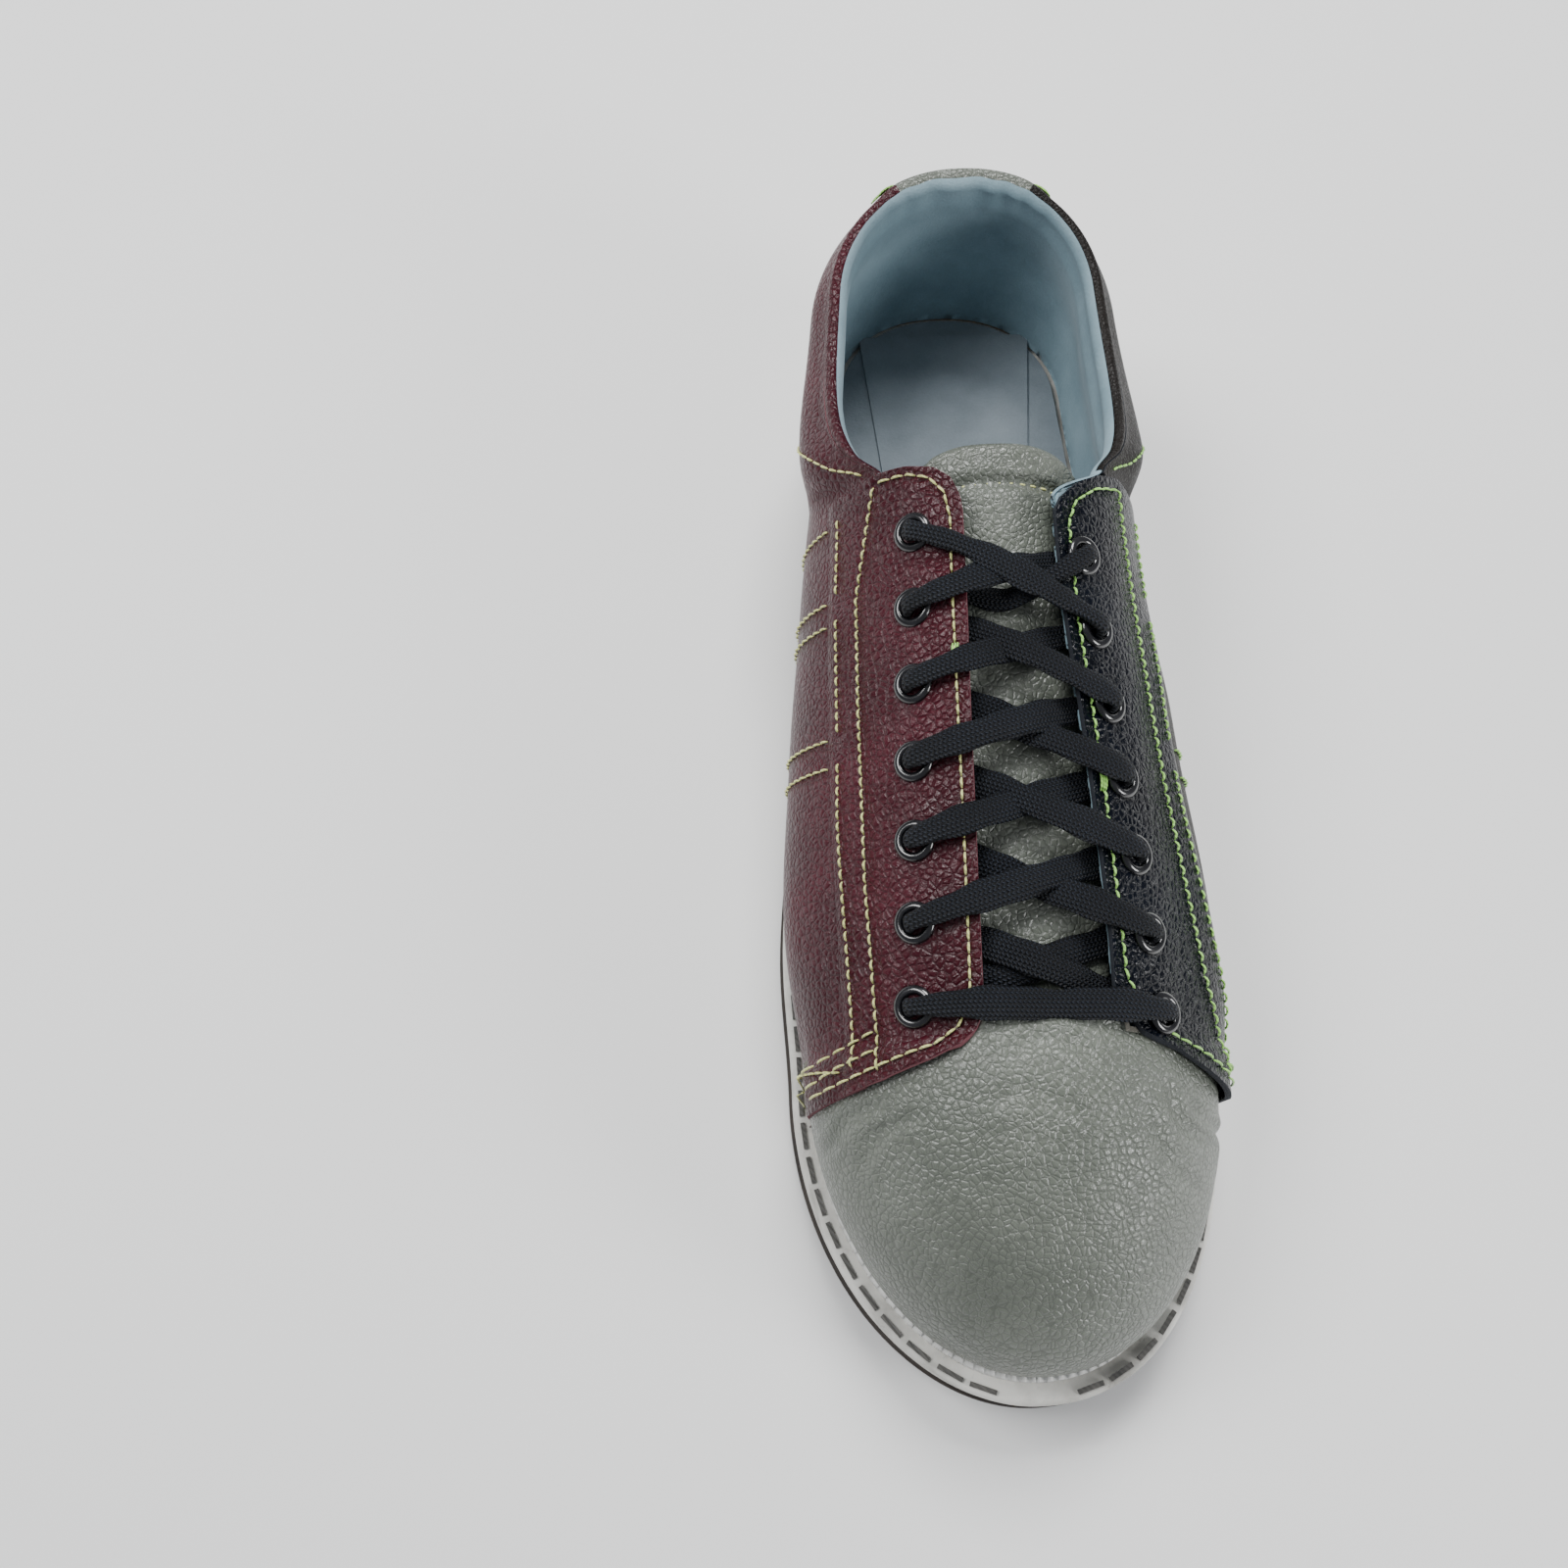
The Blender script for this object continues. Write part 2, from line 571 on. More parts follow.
EDGE_BURGUNDY = raw_edge("edge_burgundy", (0.3, 0.1, 0.12))
EDGE_NAVY = raw_edge("edge_navy", (0.02, 0.025, 0.035))
BLUE = cloth("lining_blue", (0.3, 0.43, 0.49), (0.22, 0.335, 0.39), sheen=0.15)
THREAD_PALE = thread("thread_pale", (0.78, 0.8, 0.3), (0.6, 0.62, 0.2))
THREAD_NEON = thread("thread_neon", (0.4, 0.82, 0.16), (0.28, 0.6, 0.1))
THREAD_GREY = thread("thread_grey", (0.12, 0.115, 0.105), (0.05, 0.05, 0.045))
LACE = woven_lace("lace_woven")
SOCK = cloth("sock_grey", (0.23, 0.27, 0.3), (0.17, 0.205, 0.23), sheen=0.15)
TOOTH_WHITE = rubber("rand_white", (0.8, 0.8, 0.77), (0.45, 0.44, 0.4), 0.35)
ENAMEL = enamel("eyelet_enamel")
WHITE = rubber("sole_white", (0.74, 0.73, 0.69), (0.26, 0.24, 0.2), 0.6)
WELT_WHITE = rubber("welt_white", (0.74, 0.73, 0.68), (0.16, 0.15, 0.13), 0.7)
DARK = rubber("sole_dark", (0.022, 0.016, 0.013), (0.07, 0.055, 0.045), 0.5)
FOAM = rubber("foam_cream", (0.6, 0.58, 0.5), (0.5, 0.47, 0.4), 0.4, 0.9)
BOARD = rubber("fibreboard", (0.42, 0.33, 0.23), (0.3, 0.23, 0.15), 0.5, 0.85)
STEEL = enamel("shank_steel")


# ------------------------------------------------------------------ placing by plan
def locate(side, x, y):
    """The station and rise over plan places, on one side, by halving intervals."""
    x, y = np.broadcast_arrays(np.asarray(x, float), np.asarray(y, float))
    pole = np.clip(y, TOE_POLE, HEEL_POLE)
    spine = through(SPINE_X, pole)
    bearing = np.arctan2(np.abs(x - spine), TOE_POLE - y)

    def swing(station):
        edge_x, edge_y, sx, sy = outline(side, station, through(FEATHER_INSET, station))
        return np.arctan2(np.abs(edge_x - sx), sy - edge_y) - bearing

    fan = solve(swing, np.full_like(y, TOE_TIP), np.full_like(y, TOE_POLE))
    station = np.where(y < TOE_POLE, fan, y)
    want = np.hypot(x - spine, np.minimum(y - TOE_POLE, 0))

    def reach(rise):
        p = last(side, station, rise)
        return want - np.hypot(p[..., 0] - spine, np.where(y < TOE_POLE, p[..., 1] - TOE_POLE, 0))

    return station, solve(reach, np.zeros_like(y), np.ones_like(y))


def disc(across, along):
    """Lap and rise for a place on the disc that maps the front of the last."""
    size = np.where(along < 0, np.hypot(across, along), np.abs(across))
    turn = np.arctan2(np.abs(across), -along) / (np.pi / 2)
    station = np.where(along >= 0, TOE_POLE + along * 72, TOE_TIP + turn * (TOE_POLE - TOE_TIP))
    return across, station, np.clip(1 - size, 0, 1)


def disc_point(across, along, distance):
    """Point and normal at a place on the front disc, raised by a distance."""
    side, station, rise = disc(across, along)
    side = np.where(side < 0, MEDIAL, LATERAL)
    rim_point, rim_normal = lap_frame(np.where(side < 0, station, 2 * HEEL_BACK - station),
                                      np.zeros_like(rise))
    h = 0.004

    def place(a, b):
        s, st, r = disc(a, b)
        return last(np.where(s < 0, MEDIAL, LATERAL), st, r)

    point = last(side, station, rise)
    normal = unit(np.cross(place(across + h, along) - place(across - h, along),
                           place(across, along + h) - place(across, along - h)))
    normal = outward(normal, point)
    rim = (rise < 0.012)[..., None]
    normal = unit(np.where(rim, rim_normal, normal))
    return point + normal * np.asarray(distance)[..., None], normal


# ------------------------------------------------------------------ soft relief in the leather
WAVES = [(rng.normal(size=3), rng.uniform(0, 6.28)) for _ in range(26)]


def billow(points, size):
    """Smooth seeded relief between about -1 and 1, with features of a size in mm."""
    total = np.zeros(points.shape[:-1])
    for direction, phase in WAVES:
        total = total + np.sin(points @ (direction * 1.6 / size) + phase)
    return total / math.sqrt(len(WAVES) / 2) / 1.8


def crease(points, start, end, depth, width):
    """A valley in the leather along a plan line."""
    a, b = np.array(start, float), np.array(end, float)
    d = b - a
    rel = points[..., :2] - a
    t = np.clip((rel @ d) / (d @ d), 0, 1)
    wander = 1.4 * np.sin(t * 7 + start[0])
    off = np.hypot(*np.moveaxis(rel - t[..., None] * d, -1, 0))
    side_step = (rel[..., 0] * d[1] - rel[..., 1] * d[0]) / np.hypot(*d) + wander
    ends = step(0, 0.25, t) * (1 - step(0.75, 1, t))
    near = np.exp(-(side_step / width) ** 2) - 0.55 * np.exp(-((np.abs(side_step) - 1.9 * width) / width) ** 2)
    return -depth * near * ends * (off < 6 * width)


def grid(rows, columns):
    """Row and column shares from 0 to 1."""
    return np.meshgrid(np.linspace(0, 1, rows), np.linspace(0, 1, columns), indexing="ij")


# ------------------------------------------------------------------ vamp
def build_vamp():
    v, u = grid(170, 190)
    turn0, rear = 0.75, 0.16
    turn = turn0 * (2 * u - 1)
    across = 2 * u - 1
    bend = np.pi / 2 - turn0
    distance = v * (bend + rear)
    side_turn = turn0 + np.minimum(distance, bend)
    edge_x = np.where(distance < bend, np.sin(side_turn), 1)
    edge_y = np.where(distance < bend, -np.cos(side_turn), distance - bend)
    bx = np.sin(turn) * (1 - v) + across * v + edge_x * (2 * u - 1)
    by = -np.cos(turn) * (1 - v) + rear * v + edge_y
    cx = (2 * u - 1) * (math.sin(turn0) * (1 - v) + v)
    cy = -math.cos(turn0) * (1 - v) + rear * v
    a, b = bx - cx, by - cy
    point, normal = disc_point(a, b, np.full_like(a, LEATHER[1]))
    sink = vamp_sink(point[..., 1]) * step(14, 22, np.abs(point[..., 0] - 3))
    relief = 0.22 * billow(point, 26) + 0.1 * billow(point, 9)
    for start, end, depth, width in VAMP_CREASES:
        relief = relief + crease(point, start, end, depth, width)
    low = step(0, 0.05, disc(a, b)[2])
    point = point + normal * (relief * low - sink)[..., None]
    rear_line = np.where((point[..., 0] > -13) & (point[..., 0] < 20), -69.5, -77)
    point[..., 1] = np.minimum(point[..., 1], rear_line)
    obj = panel("vamp_leather", point, TAUPE, EDGE_TAUPE, 1.2)
    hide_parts("vamp")
    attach(obj, "shoe")


VAMP_CREASES = [
    ((26, -86), (40, -101), 0.7, 1.7), ((34, -88), (49, -100), 0.6, 1.5), ((20, -92), (38, -112), 0.45, 1.8),
    ((-24, -90), (-40, -103), 0.5, 1.8), ((-30, -88), (-47, -97), 0.45, 1.6), ((-14, -90), (14, -93), 0.3,
            2.2),
    ((43, -92), (51, -106), 0.4, 1.4), ((-8, -80), (16, -80), 0.35, 1.8),
]


# ------------------------------------------------------------------ quarters, eyestays, heel patch
FRONT_EDGE = {
    MEDIAL: ((-9.2, -68), (-9.6, -71), (-11.2, -75.4), (-14.5, -79), (-20, -81.4), (-30, -84.5), (-45.3,
            -88.4), (-60, -92)),
    LATERAL: ((16.8, -64), (17.6, -68), (19.6, -73), (23, -76.8), (30, -80.2), (42, -85.6), (54, -91), (66,
            -96)),
}
TOP_EDGE = {
    MEDIAL: ((-8.0, 38), (-8.5, 43), (-10.2, 47.6), (-13.4, 50.8), (-19, 53.2), (-26, 54.8), (-60, 56)),
    LATERAL: ((10.6, 36), (10.9, 39.5), (12.6, 43.2), (16.5, 47.6), (22, 51.8), (28, 55), (60, 57)),
}


def facing_x(side, y):
    """Plan x of the facing's free edge."""
    return through(FACING_EDGE[side], y)


def edge_line(table, x):
    """Plan y of an edge at plan x."""
    xs, ys = np.array(table, float).T
    order = np.argsort(xs)
    return np.interp(x, xs[order], ys[order])


def strip_grid(side, rows, columns, outer_table):
    """Plan places over a facing, from its free edge (column 0) out to a line."""
    e, c = grid(rows, columns)
    y = -76 + 128 * e
    x = np.zeros_like(y)
    for _ in range(8):
        x = facing_x(side, y)
        x = x + (through(outer_table, y) - x) * c
        y = edge_line(FRONT_EDGE[side], x) * (1 - e) + edge_line(TOP_EDGE[side], x) * e
    return x, y


def facing_relief(point, side):
    """Soft waves and stitch valleys in a facing's leather."""
    wave = 0.16 * billow(point, 20) + 0.07 * billow(point, 7)
    groove = np.zeros(point.shape[:-1])
    for line in STITCH_LINES[side]:
        groove = groove - 0.28 * np.exp(-(line_distance(point, line) / 1.1) ** 2)
    return wave + groove


def line_distance(point, line):
    """Plan distance from points to a polyline."""
    best = np.full(point.shape[:-1], 1e9)
    for a, b in zip(line[:-1], line[1:]):
        a, b = np.array(a, float), np.array(b, float)
        d = b - a
        t = np.clip(((point[..., :2] - a) @ d) / max(d @ d, 1e-9), 0, 1)
        gap = point[..., :2] - a - t[..., None] * d
        best = np.minimum(best, np.hypot(gap[..., 0], gap[..., 1]))
    return best


STITCH_LINES = {
    MEDIAL: [
        [(-25.2, 52), (-29.8, 27), (-30.6, 0), (-31.2, -41), (-30.2, -70), (-29.6, -82.5)],
        [(-24.5, 52.4), (-18.5, 51.0), (-14.4, 48.6), (-11.6, 44.5), (-10.6, 38), (-10.9, 20), (-11.4, -20),
         (-12.1, -68), (-14.5, -74.5), (-19, -78.4), (-29.6, -81.5), (-43, -85.3)],
        [(-30.6, -73.4), (-38, -76.4), (-47.5, -80.4)],
        [(-30.3, -77.8), (-38, -80.6), (-46.5, -84.2)],
    ],
    LATERAL: [
        [(27.4, 52.2), (29.4, 25.4), (33.2, -19.7), (38.6, -62.7), (43.0, -83)],
        [(27.0, 51.4), (20.5, 47.6), (15.4, 42.6), (13.6, 37), (14.2, 15), (17.4, -20), (19.7, -64), (22.6,
            -71),
         (27, -75.6), (40, -81.8), (53, -87.8)],
        [(42.2, -76.5), (47, -79), (52, -82.4)],
        [(42.8, -80.2), (47, -82.2), (52.3, -85.4)],
    ],
}


def build_eyestays():
    for side, leather_material, edge in ((MEDIAL, BURGUNDY, EDGE_BURGUNDY), (LATERAL, NAVY, EDGE_NAVY)):
        label = SIDE_NAME[side]
        x, y = strip_grid(side, 300, 64, EYESTAY_EDGE[side])
        station, rise = locate(side, x, y)
        point, normal = lap_frame(lap_of(side, station), rise)
        skived = np.linspace(0, 1, x.shape[1])[None, :]
        lift = OVERLAY[1] + lap_lift(y) + facing_relief(point, side) - 0.6 * step(0.95, 1, skived)
        point = point + normal * lift[..., None]
        obj = panel(f"eyestay_leather_{label}", point, leather_material, edge, 1.5, 0.5)
        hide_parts(f"eyestay_{label}", f"facing_reinforcement_{label}")
        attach(obj, "shoe")


def quarter_points(side, rows, columns, distance):
    """The quarter between the eyestay line, the collar and the feather edge."""
    front = edge_line(FRONT_EDGE[side], through(EYESTAY_EDGE[side], -84) - side * 3)
    y_top = np.linspace(front, 54, columns)
    under_lap = 3.5
    x_top = through(EYESTAY_EDGE[side], y_top) - side * under_lap
    top_station, top_rise = locate(side, x_top, y_top)
    collar_station = np.concatenate([[54.01], np.linspace(56, HEEL_BACK, columns // 2)])
    collar_rise = rise_at_collar(side, collar_station)
    top_station = np.concatenate([top_station, collar_station])
    top_rise = np.concatenate([top_rise, collar_rise])
    xs = np.array([p[0] for p in FRONT_EDGE[side]])
    wing_x = side * np.linspace(abs(x_top[0]), abs(xs).max() - 3, rows)[::-1]
    wing_y = edge_line(FRONT_EDGE[side], wing_x)
    wing_station, wing_rise = locate(side, wing_x, wing_y)
    bottom = np.linspace(0, 1, len(top_station))
    bottom_station = wing_station[0] + (HEEL_BACK - wing_station[0]) * bottom
    blend_c = np.linspace(0, 1, len(top_station))[:, None]
    share = np.linspace(0, 1, rows)[None, :]
    station = bottom_station[:, None] * (1 - share) + top_station[:, None] * share
    rise = top_rise[:, None] * share
    fade = np.clip(1 - blend_c * 5, 0, 1) ** 2
    station = station + fade * (wing_station[None, :] - station[:1])
    rise = rise + fade * (wing_rise[None, :] - rise[:1])
    point, normal = lap_frame(lap_of(side, station), rise)
    bulge = collar_swell(point) * step(50, 62, station)
    lift = distance + bulge + lap_lift(point[..., 1])
    lift = lift + 0.25 * billow(point, 30) * step(0, 0.1, rise) + 0.08 * billow(point, 9)
    return point + normal * lift[..., None]


def build_quarters():
    for side, material, edge in ((MEDIAL, BURGUNDY, EDGE_BURGUNDY), (LATERAL, CHARCOAL, EDGE_NAVY)):
        label = SIDE_NAME[side]
        point = quarter_points(side, 70, 150, LEATHER[1])
        obj = panel(f"quarter_leather_{label}", point, material, edge, 1.2)
        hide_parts(f"quarter_{label}")
        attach(obj, "shoe")


def build_heel_patch():
    c, e = grid(120, 60)
    start = 131 + 7 * step(0, 0.9, e)
    lap = start * (1 - c) + (2 * HEEL_BACK - start) * c
    side = np.where(lap <= HEEL_BACK, MEDIAL, LATERAL)
    station = np.where(lap <= HEEL_BACK, lap, 2 * HEEL_BACK - lap)
    top = np.where(side < 0, rise_at_collar(MEDIAL, station), rise_at_collar(LATERAL, station))
    rise = top * e
    point, normal = lap_frame(lap, rise)
    lift = OVERLAY[1] + collar_swell(point) + 0.12 * billow(point, 16)
    point = point + normal * lift[..., None]
    obj = panel("heel_patch_leather", point, TAUPE, EDGE_TAUPE, 1.1, 0.4)
    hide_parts("heel_patch")
    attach(obj, "shoe")


# ------------------------------------------------------------------ padded collar and lining
def build_collar():
    """The lining: rolled over the padded topline and down inside to the sock."""
    laps = np.linspace(-64, 2 * HEEL_BACK + 64, 560)
    q = np.linspace(0, 1, 90)
    lap, q = np.meshgrid(laps, q, indexing="ij")
    side = np.where(lap <= HEEL_BACK, MEDIAL, LATERAL)
    station = np.where(lap <= HEEL_BACK, lap, 2 * HEEL_BACK - lap)
    collar_station = np.maximum(station, 54)
    top = np.where(side < 0, rise_at_collar(MEDIAL, collar_station), rise_at_collar(LATERAL, collar_station))
    front_y = np.minimum(station, 53)
    facing_rise = np.where(side < 0, locate(MEDIAL, facing_x(MEDIAL, front_y) - 2, front_y)[1],
                           locate(LATERAL, facing_x(LATERAL, front_y) + 2, front_y)[1])
    behind = step(44, 55, station)
    top = facing_rise * (1 - behind) + top * behind
    roll = np.clip(q / 0.3, 0, 1)
    down = np.clip((q - 0.3) / 0.7, 0, 1)
    rise = top * (1 - down * 0.995)
    point, normal = lap_frame(lap, rise)
    full = through(COLLAR_SWELL, point[..., 1]) * step(50, 64, station)
    below = (through(COLLAR_LINE, point[..., 1]) - point[..., 2]) / COLLAR_DEPTH
    inner = 0.25 - INNER_SWELL * full * step(0, 0.3, below) * (1 - step(0.4, 1.1, below))
    heel = 1 - step(12, 20, np.abs(lap - HEEL_BACK))
    outer_at_top = LEATHER[1] + 0.4 * full + 1.25 * heel
    inner_at_top = 0.25
    middle, radius = (outer_at_top + inner_at_top) / 2, (outer_at_top - inner_at_top) / 2
    angle = np.pi * roll
    distance = np.where(q < 0.3, middle + radius * np.cos(angle), inner)
    distance = 0.25 * (1 - behind) + distance * behind
    height = np.where(q < 0.3, np.sin(angle) * (1.1 + 0.35 * full), 0) * behind
    back = np.exp(-((lap - HEEL_BACK) / 15) ** 2)
    gather = np.sin(lap * 0.95 + 1.3 * np.sin(lap * 0.23)) * (0.04 + 0.96 * back)
    pull = gather * step(0.05, 0.3, q) * (1 - step(0.3, 0.52, q))
    distance = distance + 0.34 * pull + 0.25 * billow(point, 17) * step(0.1, 0.3, q)
    points = point + normal * distance[..., None]
    points[..., 2] += height + 0.08 * gather * step(0.02, 0.2, q) * (1 - step(0.25, 0.4, q))
    obj = panel("collar_lining", points, BLUE, BLUE, 0.7, 0.2)
    for item in (BURGUNDY, TAUPE, CHARCOAL):
        obj.data.materials.append(item)
    rolled = (q < 0.17)[:-1, :-1] & (station > 55)[:-1, :-1]
    kind = np.where(lap < 138, 2, np.where(lap > 166, 4, 3))[:-1, :-1]
    obj.data.polygons.foreach_set("material_index", np.where(rolled, kind, 0).ravel().astype(int))
    obj.modifiers["thickness"].offset = 1
    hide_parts("quarter_lining", "collar_padding")
    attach(obj, "shoe")


# ------------------------------------------------------------------ tongue
def build_tongue():
    rows, columns = 190, 90
    e, c = grid(rows, columns)
    y = TONGUE_BASE + (TONGUE_TOP - TONGUE_BASE) * e
    corner = step(0.0, 1, np.clip((y - (TONGUE_TOP - 9)) / 9, 0, 1))
    half = through(TONGUE_HALF_WIDTH, y) - 5 * corner ** 2
    middle = (facing_x(MEDIAL, y) + facing_x(LATERAL, y)) / 2
    s = 2 * c - 1
    x = middle + half * s
    y = y - 3.5 * (np.abs(s) ** 3) * step(0.85, 1, e)
    point, normal = arch_frame(y, x)
    edge = np.minimum(np.minimum((1 - np.abs(s)) * half / 3.2, (1 - e) * 133 / 3.0), 1)
    thick = np.sqrt(np.clip(1 - (1 - edge) ** 2, 0, 1))
    sink = through(TONGUE_SINK, y)
    puff = 1.3 * step(30, 48, y) * (1 - step(0.75, 1.0, np.abs(s)))
    seam = -1.5 * np.exp(-((y + 3.5 * np.abs(s) ** 3 - 48) / 1.5) ** 2) - 0.8 * np.exp(-((np.abs(s) * half - half + 5) / 1.2) ** 2) * step(20, 50, y)
    relief = 0.3 * billow(point, 17) + 0.12 * billow(point, 6)
    body = 5.6
    upper = point + normal * (-sink - (1 - thick) * body * 0.5 + puff + seam + relief)[..., None]
    lower = point + normal * (-sink - body + (1 - thick) * body * 0.5)[..., None]
    top_faces = face_outward(upper, grid_faces(rows, columns))
    n = rows * columns
    bottom_faces = [tuple(reversed([i + n for i in f])) for f in top_faces]
    rim = [(i, 0) for i in range(rows)] + [(rows - 1, j) for j in range(1, columns)]
    rim += [(i, columns - 1) for i in range(rows - 2, -1, -1)] + [(0, j) for j in range(columns - 2, 0, -1)]
    ring = [i * columns + j for i, j in rim]
    side_faces = [(ring[k], ring[k - 1], ring[k - 1] + n, ring[k] + n) for k in range(len(ring))]
    uvs = np.stack([x, y], axis=-1).reshape(-1, 2) * 0.01
    obj = add_mesh("tongue_leather", np.concatenate([upper.reshape(-1, 3), lower.reshape(-1, 3)]),
                   top_faces + bottom_faces + side_faces, [TAUPE, BLUE], np.concatenate([uvs, uvs]))
    indices = [0] * len(top_faces) + [1] * (len(bottom_faces) + len(side_faces))
    obj.data.polygons.foreach_set("material_index", indices)
    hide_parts("tongue", "tongue_padding", "tongue_lining")
    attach(obj, "tongue")


# ------------------------------------------------------------------ eyelets
def eyelet_place(side, row):
    """Plan place of an eyelet's middle."""
    t = (row - 1) / (EYELET_ROWS - 1)
    (x0, y0), (x1, y1) = FIRST_EYELET[side], LAST_EYELET[side]
    return x0 + (x1 - x0) * t, y0 + (y1 - y0) * t


def eyelet_frame(side, row):
    """Point and normal of the last under an eyelet."""
    x, y = eyelet_place(side, row)
    return arch_frame(y, x)


def build_eyelets():
    profile = [(4.75, -0.25), (4.8, 0.1), (4.55, 0.55), (4.1, 0.85), (3.6, 0.95), (3.1, 0.85),
               (2.75, 0.5), (2.62, 0.0), (2.6, -3.4), (2.95, -3.9), (3.3, -3.6), (3.2, -0.3)]
    turns = 40
    for side in (MEDIAL, LATERAL):
        label = SIDE_NAME[side]
        vertices, faces = [], []
        for row in range(1, EYELET_ROWS + 1):
            foot, axis = eyelet_frame(side, row)
            _, y = eyelet_place(side, row)
            top = OVERLAY[1] + lap_lift(y - 4.6) + 0.05
            a = unit(np.cross(axis, np.array([0, 1, 0.0])))
            b = np.cross(axis, a)
            start = len(vertices)
            for r, h in profile:
                for k in range(turns):
                    t = 2 * np.pi * k / turns
                    vertices.append(foot + axis * (top + h) + (a * math.cos(t) + b * math.sin(t)) * r)
            m = len(profile)
            for i in range(m):
                for k in range(turns):
                    p0, p1 = start + i * turns + k, start + i * turns + (k + 1) % turns
                    q0, q1 = start + (i + 1) % m * turns + k, start + (i + 1) % m * turns + (k + 1) % turns
                    faces.append((p0, p1, q1, q0))
        obj = add_mesh(f"eyelet_rings_{label}", vertices, faces, ENAMEL)
        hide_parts(f"eyelets_{label}")
        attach(obj, "shoe")


# ------------------------------------------------------------------ lace
ON_FACING = OVERLAY[1] + 1.8
UNDER_FACING = -1.2
WIDE, NARROW, FOLDED = 3.4, 2.0, 2.5


def spot(y, x, height, half=WIDE):
    """A lace point: its place, the normal of the last there, and the half width."""
    point, normal = arch_frame(y, x)
    return point + normal * height, normal, half


def over(side, row):
    x, y = eyelet_place(side, row)
    return spot(y, x, OVERLAY[1] + lap_lift(y - 4.6) + 0.05 + 0.8 + 1.5, NARROW)


def under(side, row):
    x, y = eyelet_place(side, row)
    return spot(y, x, -1.85, NARROW)


def between(start, end, x, height, half=WIDE):
    t = (x - start[0]) / (end[0] - start[0])
    return spot(start[1] + (end[1] - start[1]) * t, x, height, half)


def crossing(side, row, over_other, half=WIDE):
    start, end = eyelet_place(side, row), eyelet_place(-side, row + 1)
    near, far = facing_x(side, start[1]), facing_x(-side, end[1])
    middle = 3.6 if over_other else 0.9
    return [over(side, row),
            between(start, end, near + side * 1.5, ON_FACING, half),
            between(start, end, (near + far) / 2, middle, half),
            between(start, end, far - side * 2, UNDER_FACING, half),
            under(-side, row + 1)]


def hidden_crossing(side, over_other):
    start, end = eyelet_place(side, 1), eyelet_place(-side, 2)
    near, far = facing_x(side, start[1]), facing_x(-side, end[1])
    middle = 1.7 if over_other else -1.0
    return [under(side, 1),
            between(start, end, near + side * 4, UNDER_FACING),
            between(start, end, (near + far) / 2, middle),
            between(start, end, far - side * 4, UNDER_FACING),
            under(-side, 2)]


def lace_points():
    climb_a, climb_b = [], []
    side = MEDIAL
    for row in range(2, EYELET_ROWS):
        half = WIDE if row < 5 else FOLDED + 0.6
        climb_a += crossing(side, row, (side == MEDIAL) == (row % 2 == 0), half)
        if row < EYELET_ROWS - 1:
            climb_b += crossing(-side, row, (side == MEDIAL) != (row % 2 == 0), half)
        side = -side
    start, end = eyelet_place(LATERAL, 6), eyelet_place(MEDIAL, 7)
    top_run = [over(LATERAL, 6),
               between(start, end, facing_x(LATERAL, 12) + 1, ON_FACING, FOLDED),
               between(start, end, 2, 5.4, WIDE),
               between(start, end, facing_x(MEDIAL, 30) - 1, ON_FACING, FOLDED),
               over(MEDIAL, 7), under(MEDIAL, 7), spot(43, -15.5, -2.0, NARROW)]
    tail = [spot(40, -24, -2.1, NARROW), spot(28, -20, -2.0, FOLDED), spot(22, -9, -2.0, FOLDED),
            spot(19.5, 0, -1.8, FOLDED), spot(21.5, 6, 1.9, FOLDED), spot(26, 12.5, ON_FACING, FOLDED),
            over(LATERAL, 7)]
    bar = [over(LATERAL, 1), spot(-71, 18.5, ON_FACING), spot(-70.8, 4, 4.2), spot(-70, -11, ON_FACING),
           over(MEDIAL, 1)]
    return (tail + climb_a[::-1] + hidden_crossing(LATERAL, True)[::-1] + bar
            + hidden_crossing(MEDIAL, False) + climb_b + top_run)


def spline(values, knots, at):
    """Catmull-Rom through values given at knots."""
    slopes = np.zeros_like(values)
    slopes[1:-1] = (values[2:] - values[:-2]) / (knots[2:] - knots[:-2])[:, None]
    slopes[0] = (values[1] - values[0]) / (knots[1] - knots[0])
    slopes[-1] = (values[-1] - values[-2]) / (knots[-1] - knots[-2])
    k = np.clip(np.searchsorted(knots, at, side="right") - 1, 0, len(knots) - 2)
    h = (knots[k + 1] - knots[k])[:, None]
    t = (at - knots[k])[:, None] / h
    a, b = values[k], values[k + 1]
    return (a * (2 * t ** 3 - 3 * t ** 2 + 1) + b * (3 * t ** 2 - 2 * t ** 3)
            + h * slopes[k] * (t ** 3 - 2 * t ** 2 + t) + h * slopes[k + 1] * (t ** 3 - t ** 2))


def smooth_along(values, sigma):
    reach = int(sigma * 3)
    kernel = np.exp(-0.5 * (np.arange(-reach, reach + 1) / sigma) ** 2)
    kernel /= kernel.sum()
    padded = np.concatenate([values[:1].repeat(reach, 0), values, values[-1:].repeat(reach, 0)])
    return np.stack([np.convolve(padded[:, i], kernel, "valid") for i in range(values.shape[1])], axis=1)


